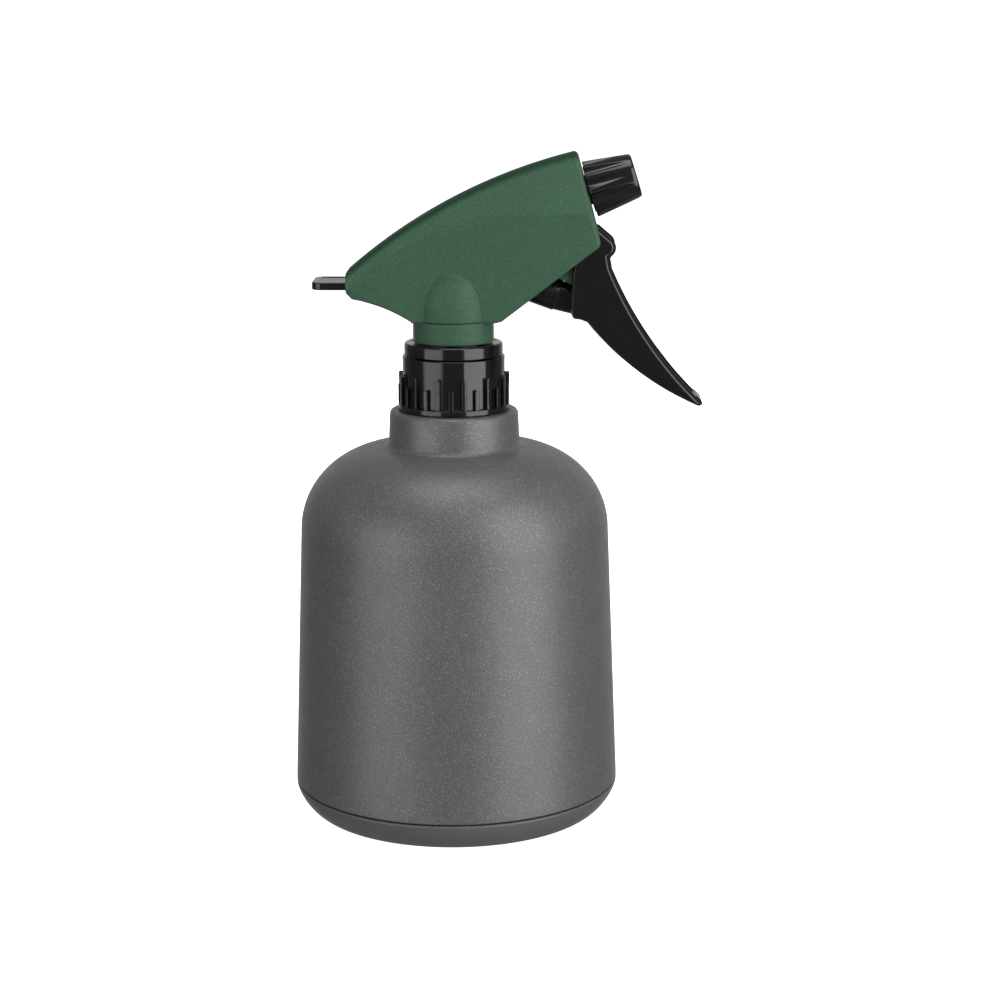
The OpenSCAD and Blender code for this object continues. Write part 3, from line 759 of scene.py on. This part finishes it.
def trigger_hollow():
    """Outline of the room between the side walls, open to the rear."""
    return ([(20, 0), (88.3, 3.5)] + arc(FINGER_ARC, FINGER_R + 2.4, 224.0, 203.6, 24) + [(45.2, 46.6)]
            + arc((45.2, 49.8), 1.2, -60, 45, 8) + [(41.9, 54.2), (41.5, 70), (20, 70)])


def finger_groove():
    """The shallow groove that runs down the trigger's finger side, between two side flanges."""
    flange = 1.3
    floor = arc(FINGER_ARC, FINGER_R + 1, 224.6, 203.6, 30) + arc(KNOB, 2.6, -50, 45, 10)
    outside = [(43.4, 55.4), (42.2, 55.5), (44, 62), (62, 50), (84, 8)]
    return plate(floor + outside, TRIGGER_HALF - flange)


def trigger():
    back, front = trigger_outline()
    # the rim on the front is a steep slope between two small rounds, and narrow on the palm side
    rim = rounded([(0, 2.3), (0, 1.25, 0.9), (1.75, 0, 0.35), (2.6, 0)], steps=6)[1:]
    body = plate(back + front, TRIGGER_HALF, rim=rim, shares=[0.4] * len(back) + [1.0] * len(front))
    hollow = plate(trigger_hollow(), TRIGGER_HALF - TRIGGER_WALL)
    combine(hollow, "INTERSECT", [block((20, -10, 3.5), (74, 10, 73.5))])
    reach = TRIGGER_HALF - PIN_SKIN
    pins = [bar(1.52, -reach, reach, HEAD @ Matrix.Translation((x, 0, z)) @ SIDEWAYS, 32)
            for x, z in (PIVOT, LINK)]
    cut(body, hollow, finger_groove(), *pins)
    show(body, "trigger_shell", materials["black_satin"], "trigger", "trigger")


# ---------- piston ----------

PISTON_R = 4.85


def piston_ring(p, radius, half=9.0, raised=0.0, segments=96):
    """A ring with flat sides half apart, its centre raised above the axis; local X points down."""
    angles = [math.tau * i / segments for i in range(segments)]
    return [(radius * math.cos(a) - raised, max(-half, min(half, radius * math.sin(a))), p) for a in angles]


def piston():
    seal_groove = PISTON_R - 0.8
    flat = 3.6
    outside = [(-9, PISTON_R - 0.2, 9), (-8.8, PISTON_R, 9), (-8.2, PISTON_R, 9), (-8.2, seal_groove, 9),
               (-6.6, seal_groove, 9), (-6.6, PISTON_R, 9), (-4.2, PISTON_R, 9), (-4.2, seal_groove, 9),
               (-2.6, seal_groove, 9), (-2.6, PISTON_R, 9), (10.2, PISTON_R, 9), (10.45, PISTON_R - 0.25, 9),
               (10.5, PISTON_R - 0.3, flat), (19.2, 4.08, flat, 0.46), (19.75, 3.85, flat - 0.3, 0.5),
               (20, 3.3, flat - 0.8, 0.5)]
    inside = [(0.5, 0.01, 9), (0.5, 3.6, 9), (-8.7, 3.6, 9), (-9, 3.8, 9)]
    rings = [piston_ring(*level) for level in outside]
    body = solid(skin(rings), PUMP)
    bore = solid(skin([piston_ring(p, r, half) for p, r, half in [(-10, 3.6, 9), (0.5, 3.6, 9)]]), PUMP)
    slot = arc((0.35, 0), 1.9, -90, 90, 12) + arc((-0.35, 0), 1.9, 90, 270, 12)
    through = solid(slab(slot, -6, 6), PUMP @ Matrix.Translation((0, 0, 16.8)) @ SIDEWAYS)
    cut(body, bore, through)
    show(body, "piston_shell", materials["black_satin"], "piston", "piston")


# ---------- pump body ----------

def tongue():
    """The flat tongue behind the shroud: rounded in plan, with a shallow recess on top."""
    half = 8.2
    rear = node_box("pump_body")[0].x
    front = -25
    plan = rounded([(front, -half), (front, half), (rear, half, 3), (rear, -half, 3)], steps=8, closed=True)
    recess = rounded([(-30, 6), (rear + 2.2, 6, 1.2), (rear + 2.2, -6, 1.2), (-30, -6)], closed=True)
    body = solid(slab(plan, 37.3, 39.6, 0.35), HEAD)
    return cut(body, solid(slab(recess, 39.45, 41), HEAD))


def keel():
    """Plate that closes the rear underside of the shroud, and the shelf that joins it to the stem."""
    underside = arc((REAR_ARC[0], REAR_ARC[1] - 0.25), REAR_ARC_R, 76.4, 57, 24)
    upper = arc((REAR_ARC[0], REAR_ARC[1] - 0.25), REAR_ARC_R + 1.5, 59, 76.4, 20)
    shelf = plate(underside + [(-12.7, 28.1), (-4, 28.1), (-4, 29.6)] + upper, 7.6)
    heel = plate([(-29, 37.4), (-27.2, 34.2), (-24, 33.2), (-24, 39.4), (-29, 39.4)], 7.6)
    return shelf, heel


def pivot_ears():
    """The two ears that hold the trigger's pivot pin."""
    outline = rounded([(34.6, 61), (34.6, 52.2, 1), (38.2, 50.7, 1), (42.1, 54.9, 1), (39.6, 62.2)],
                      closed=True)
    ears = join(plate(outline, 6, edge=0.25),
                bar(3.0, -6, 6, HEAD @ Matrix.Translation((PIVOT[0], 0, PIVOT[1])) @ SIDEWAYS, 48, 0.25))
    gap = block((30, -4.2, 40), (50, 4.2, 61))
    pin = bar(1.51, -9, 9, HEAD @ Matrix.Translation((PIVOT[0], 0, PIVOT[1])) @ SIDEWAYS, 32)
    return cut(ears, gap, pin)


def turret():
    """Flange and upright tube; its two keys stand in the slits of the shroud's skirt, gap clear of them."""
    flange_r = 13.2
    wall_in = TURRET_R - 1.5
    profile = rounded([(STEM_R - 1, FLANGE_Z), (flange_r, FLANGE_Z, 0.2), (flange_r, 15.45, 0.2),
                       (TURRET_R, 15.45), (TURRET_R, 27), (wall_in, 27), (wall_in, 16.1),
                       (STEM_R - 1, 16.1)], closed=True)
    keys = solid(revolve(rounded([(TURRET_R - 1, 21.0), (12.35, 21.0, 0.3), (12.35, 26.9),
                                  (TURRET_R - 1, 26.9)]), 128), HEAD)
    gap = 0.1
    slots = join(block((-20, gap - SLIT_REAR, 0), (0, SLIT_REAR - gap, 40)),
                 block((-gap, gap - SLIT_FRONT, 0), (20, SLIT_FRONT - gap, 40)))
    combine(keys, "INTERSECT", [slots])
    return join(solid(revolve(profile, 128), HEAD), keys)


def pump_body():
    body = turret()
    join(body,
         bar(6.6, 1.5, 15.62, HEAD, 96, 0.3),
         bar(STEM_R, FLANGE_Z, STEM_TOP_Z, HEAD),
         *keel(), tongue(), pivot_ears(),
         bar(6.5, -22, 0, PUMP, 96, 0.35),
         bar(4.6, -47.2, -0.2, NOZZLE, 64, 0.4),
         bar(4.3, -1.1, 9.8, NOZZLE, 64, 0.4),
         solid(thread(4.3, 4.95, NOZZLE_LEAD, 1.6, 1.1), NOZZLE @ Matrix.Translation((0, 0, 0.8))))
    cut(body,
        bar(4.99, -1, 13, HEAD), bar(STEM_BORE_R, 12, 13.9, HEAD), bar(CHANNEL_R, 13, 54, HEAD),
        bar(STEM_BORE_R, 15.4, 47.4, HEAD),
        bar(0.6, 13, 17, HEAD @ Matrix.Translation((-8, 0, 0)), 24),
        bar(5.02, -20.5, 1.5, PUMP, 96), bar(1.4, -25, -19, PUMP, 32),
        bar(CHANNEL_R, -43.2, 0, NOZZLE, 32), bar(STEM_BORE_R, -3, 11, NOZZLE, 48))
    show(body, "pump_frame", materials["black_satin"], "head", "pump_body")


# ---------- nozzle ----------

FLUTES = 12
NOZZLE_R = 8.6
NOZZLE_FRONT_R = 6.65
NOZZLE_LEN = 14.6


def nozzle_level(t, radius, depth):
    """One level of the cap: a ridge between two round flutes that are depth deep and narrow with it."""
    half_pitch = math.pi / FLUTES
    flute_r = 1.7
    depth = max(depth, 0.012)
    half_chord = math.sqrt(max(0.01, 2 * flute_r * depth - depth * depth))
    edge = min(half_chord / radius, half_pitch * 0.94)
    ring = []
    for i in range(FLUTES):
        middle = (i + 0.5) * math.tau / FLUTES
        across = [(k / 6, 1 - (k / 6) ** 2) for k in range(0, 6)] + [(0.94, 0.09), (1.0, 0.015)]
        angles = [(u * edge, depth * h) for u, h in across]
        angles += [(edge + (half_pitch - edge) * u, 0.0) for u in (0.08, 0.3, 0.65)]
        for angle, dip in [(-a, d) for a, d in angles[:0:-1]] + angles:
            r = radius - dip
            ring.append((r * math.cos(middle + angle), r * math.sin(middle + angle), t))
        ring.append((radius * math.cos(middle + half_pitch), radius * math.sin(middle + half_pitch), t))
    return ring


def nozzle():
    outline = rounded([(7.0, 0), (NOZZLE_R, 0, 0.35), (NOZZLE_R - 0.08, 0.8, 0.5),
                       (NOZZLE_FRONT_R + 0.15, NOZZLE_LEN - 1.2, 1.0),
                       (NOZZLE_FRONT_R - 0.2, NOZZLE_LEN, 0.9), (4.6, NOZZLE_LEN)], steps=7)
    slope = (NOZZLE_R - NOZZLE_FRONT_R) / NOZZLE_LEN
    rings = []
    for (r0, t0), (r1, t1) in zip(outline, outline[1:]):
        parts = max(1, round(math.hypot(r1 - r0, t1 - t0) / 0.9))
        for k in range(parts):
            r = r0 + (r1 - r0) * k / parts
            t = t0 + (t1 - t0) * k / parts
            # a flute's floor is a straight line, so its depth is what the cap's surface stands above it
            floor = NOZZLE_R - 1.1 - (slope - 0.0835) * t
            rings.append(nozzle_level(t, r, r - floor if r > floor else 0))
    angles = [math.atan2(p[1], p[0]) for p in rings[-1]]
    ring_z = NOZZLE_LEN - 0.3
    plain = rounded([(4.6, NOZZLE_LEN), (4.3, ring_z, 0.1), (3.9, ring_z, 0.1), (3.6, NOZZLE_LEN, 0.1),
                     (3.2, NOZZLE_LEN, 0.15), (3.2, 11), (0.8, 11), (0.8, 10), (5.4, 10), (5.4, -0.3, 0.15),
                     (7.0, -0.3, 0.15), (7.0, -0.02)])
    rings += [[(r * math.cos(a), r * math.sin(a), t) for a in angles] for r, t in plain]
    body = solid(skin(rings, wrap=True), NOZZLE)
    ridge = solid(thread(5.4, 4.55, NOZZLE_LEAD, 1.2, 1.1), NOZZLE @ Matrix.Translation((0, 0, 2.25)))
    show(join(body, ridge), "nozzle_cap", materials["black_gloss"], "nozzle", "nozzle")


def nozzle_insert():
    """The orifice disc: a flat plug with a funnel round its hole."""
    profile = rounded([(0.3, 11.02), (3.18, 11.02, 0.1), (3.18, 13.62, 0.25), (1.7, 13.62, 0.15),
                       (0.3, 12.6, 0.05)], closed=True)
    show(solid(revolve(profile, 96), NOZZLE), "nozzle_orifice", materials["black_gloss"], "nozzle",
         "nozzle_insert")


CARRIED = {
    "white_plastic": ("neck_gasket", "inlet_seat", "tube_strainer", "outlet_valve", "spinner"),
    "clear_tube": ("dip_tube",),
    "black_rubber": ("pressure_seal", "vent_seal", "nozzle_seal"),
    "steel": ("inlet_ball", "trigger_pin", "link_pin", "return_spring", "outlet_spring"),
}


def carried_parts():
    """The inner CAD nodes show as they are and take their material here."""
    for slot, names in CARRIED.items():
        for name in names:
            mesh = frame["nodes"][name].data
            mesh.materials.clear()
            mesh.materials.append(materials[slot])


bottle()
base_cup()
screw_collar()
retaining_ring()
shroud()
trigger()
piston()
pump_body()
nozzle()
nozzle_insert()
carried_parts()


# ---------- floor, light and camera ----------

def studio_floor():
    """A pale sweep: a floor that curves up into a backdrop."""
    profile = [(-4.0, 0.0)] + arc((2.2, 0.9), 0.9, 270, 360, 16) + [(3.1, 4.0)]
    verts = [(x, y, z) for y, z in profile for x in (-4.0, 4.0)]
    faces = [(2 * i, 2 * i + 1, 2 * i + 3, 2 * i + 2) for i in range(len(profile) - 1)]
    mesh = bpy.data.meshes.new("sweep")
    mesh.from_pydata(verts, [], faces)
    for face in mesh.polygons:
        face.use_smooth = True
    sweep = bpy.data.objects.new("sweep", mesh)
    scene.collection.objects.link(sweep)
    material = blank_material("sweep_paper")
    where = add_node(material, "ShaderNodeTexCoord").outputs["Object"]
    grain = noise(material, where, 2, 3)
    tint = mix_colour(material, grain, (0.88, 0.88, 0.88), (0.92, 0.92, 0.92))
    paper = add_node(material, "ShaderNodeBsdfDiffuse", Color=tint)
    glow = add_node(material, "ShaderNodeEmission", Strength=0.95)
    lit = add_node(material, "ShaderNodeAddShader")
    material.node_tree.links.new(paper.outputs[0], lit.inputs[0])
    material.node_tree.links.new(glow.outputs[0], lit.inputs[1])
    # only the camera sees the paper, and only from above: reflections see the room through it
    seen = add_node(material, "ShaderNodeLightPath").outputs["Is Camera Ray"]
    under = add_node(material, "ShaderNodeNewGeometry").outputs["Backfacing"]
    above = add_node(material, "ShaderNodeMath", {"operation": "SUBTRACT"})
    material.node_tree.links.new(seen, above.inputs[0])
    material.node_tree.links.new(under, above.inputs[1])
    above.use_clamp = True
    clear = add_node(material, "ShaderNodeBsdfTransparent")
    pick = add_node(material, "ShaderNodeMixShader", Fac=above.outputs[0])
    material.node_tree.links.new(clear.outputs[0], pick.inputs[1])
    material.node_tree.links.new(lit.outputs[0], pick.inputs[2])
    finish_material(material, pick)
    mesh.materials.append(material)


def softbox(name, azimuth, distance, height, width, tall, brightness, mirrored=True):
    """An upright area light that faces the object; azimuth is counted from the camera, to the right."""
    light = bpy.data.lights.new(name, "AREA")
    light.shape = "RECTANGLE"
    light.size = width
    light.size_y = tall
    light.energy = brightness * math.pi * width * tall
    obj = bpy.data.objects.new(name, light)
    turn = math.radians(azimuth)
    obj.location = (distance * math.sin(turn), -distance * math.cos(turn), height)
    aim = Vector((0, 0, height)) - obj.location
    obj.rotation_euler = aim.to_track_quat("-Z", "Y").to_euler()
    obj.visible_camera = False
    obj.visible_glossy = mirrored
    scene.collection.objects.link(obj)


def overhead(height, size, brightness):
    """A square area light above the object that faces down."""
    light = bpy.data.lights.new("overhead", "AREA")
    light.size = size
    light.energy = brightness * math.pi * size * size
    obj = bpy.data.objects.new("overhead", light)
    obj.location = (0, -0.12, height)
    scene.collection.objects.link(obj)


def room():
    """The room's own light: bright behind the object and above it, dim behind the camera."""
    world = bpy.data.worlds.new("room")
    world.use_nodes = True
    world.node_tree.nodes.clear()
    where = add_node(world, "ShaderNodeTexCoord").outputs["Generated"]
    split = add_node(world, "ShaderNodeSeparateXYZ", Vector=where)
    back = remap(world, split.outputs["Y"], 0.6, 0.95, 0.0, 0.8)
    low = remap(world, split.outputs["Z"], 0.3, 0.6, 1.0, 0.15)
    front = remap(world, split.outputs["Z"], -0.3, 0.5, 0.12, 0.3)
    wall = add_node(world, "ShaderNodeMath", {"operation": "MULTIPLY"})
    world.node_tree.links.new(back, wall.inputs[0])
    world.node_tree.links.new(low, wall.inputs[1])
    total = add_node(world, "ShaderNodeMath", {"operation": "MAXIMUM"})
    world.node_tree.links.new(wall.outputs[0], total.inputs[0])
    world.node_tree.links.new(front, total.inputs[1])
    bounce = add_node(world, "ShaderNodeMath", {"operation": "MAXIMUM"})
    world.node_tree.links.new(total.outputs[0], bounce.inputs[0])
    world.node_tree.links.new(remap(world, split.outputs["Z"], -0.8, -0.4, 0.3, 0.0), bounce.inputs[1])
    # the camera sees plain white past the paper
    seen = add_node(world, "ShaderNodeLightPath").outputs["Is Camera Ray"]
    level = add_node(world, "ShaderNodeMath", {"operation": "MAXIMUM"})
    world.node_tree.links.new(bounce.outputs[0], level.inputs[0])
    world.node_tree.links.new(seen, level.inputs[1])
    sky = add_node(world, "ShaderNodeBackground", Strength=level.outputs[0])
    out = add_node(world, "ShaderNodeOutputWorld")
    world.node_tree.links.new(sky.outputs[0], out.inputs["Surface"])
    scene.world = world


def camera():
    data = bpy.data.cameras.new("camera")
    data.sensor_width = 36
    data.lens = 87.75
    obj = bpy.data.objects.new("camera", data)
    data.shift_x = -0.045
    obj.location = (0.02784, -0.7351, 0.2565)
    looking_down = 12.243
    obj.rotation_euler = Matrix.Rotation(math.radians(90 - looking_down), 4, "X").to_euler()
    scene.collection.objects.link(obj)
    scene.camera = obj


studio_floor()
softbox("left_softbox", -46, 0.8, 0.12, 0.66, 0.8, 2.2)
softbox("right_softbox", 51, 0.8, 0.42, 0.72, 1.4, 3.5)
softbox("rear_softbox", 180, 0.9, 0.45, 0.8, 0.9, 2.6, mirrored=False)
overhead(0.95, 0.55, 3.2)
room()
camera()
scene.view_settings.view_transform = "Standard"
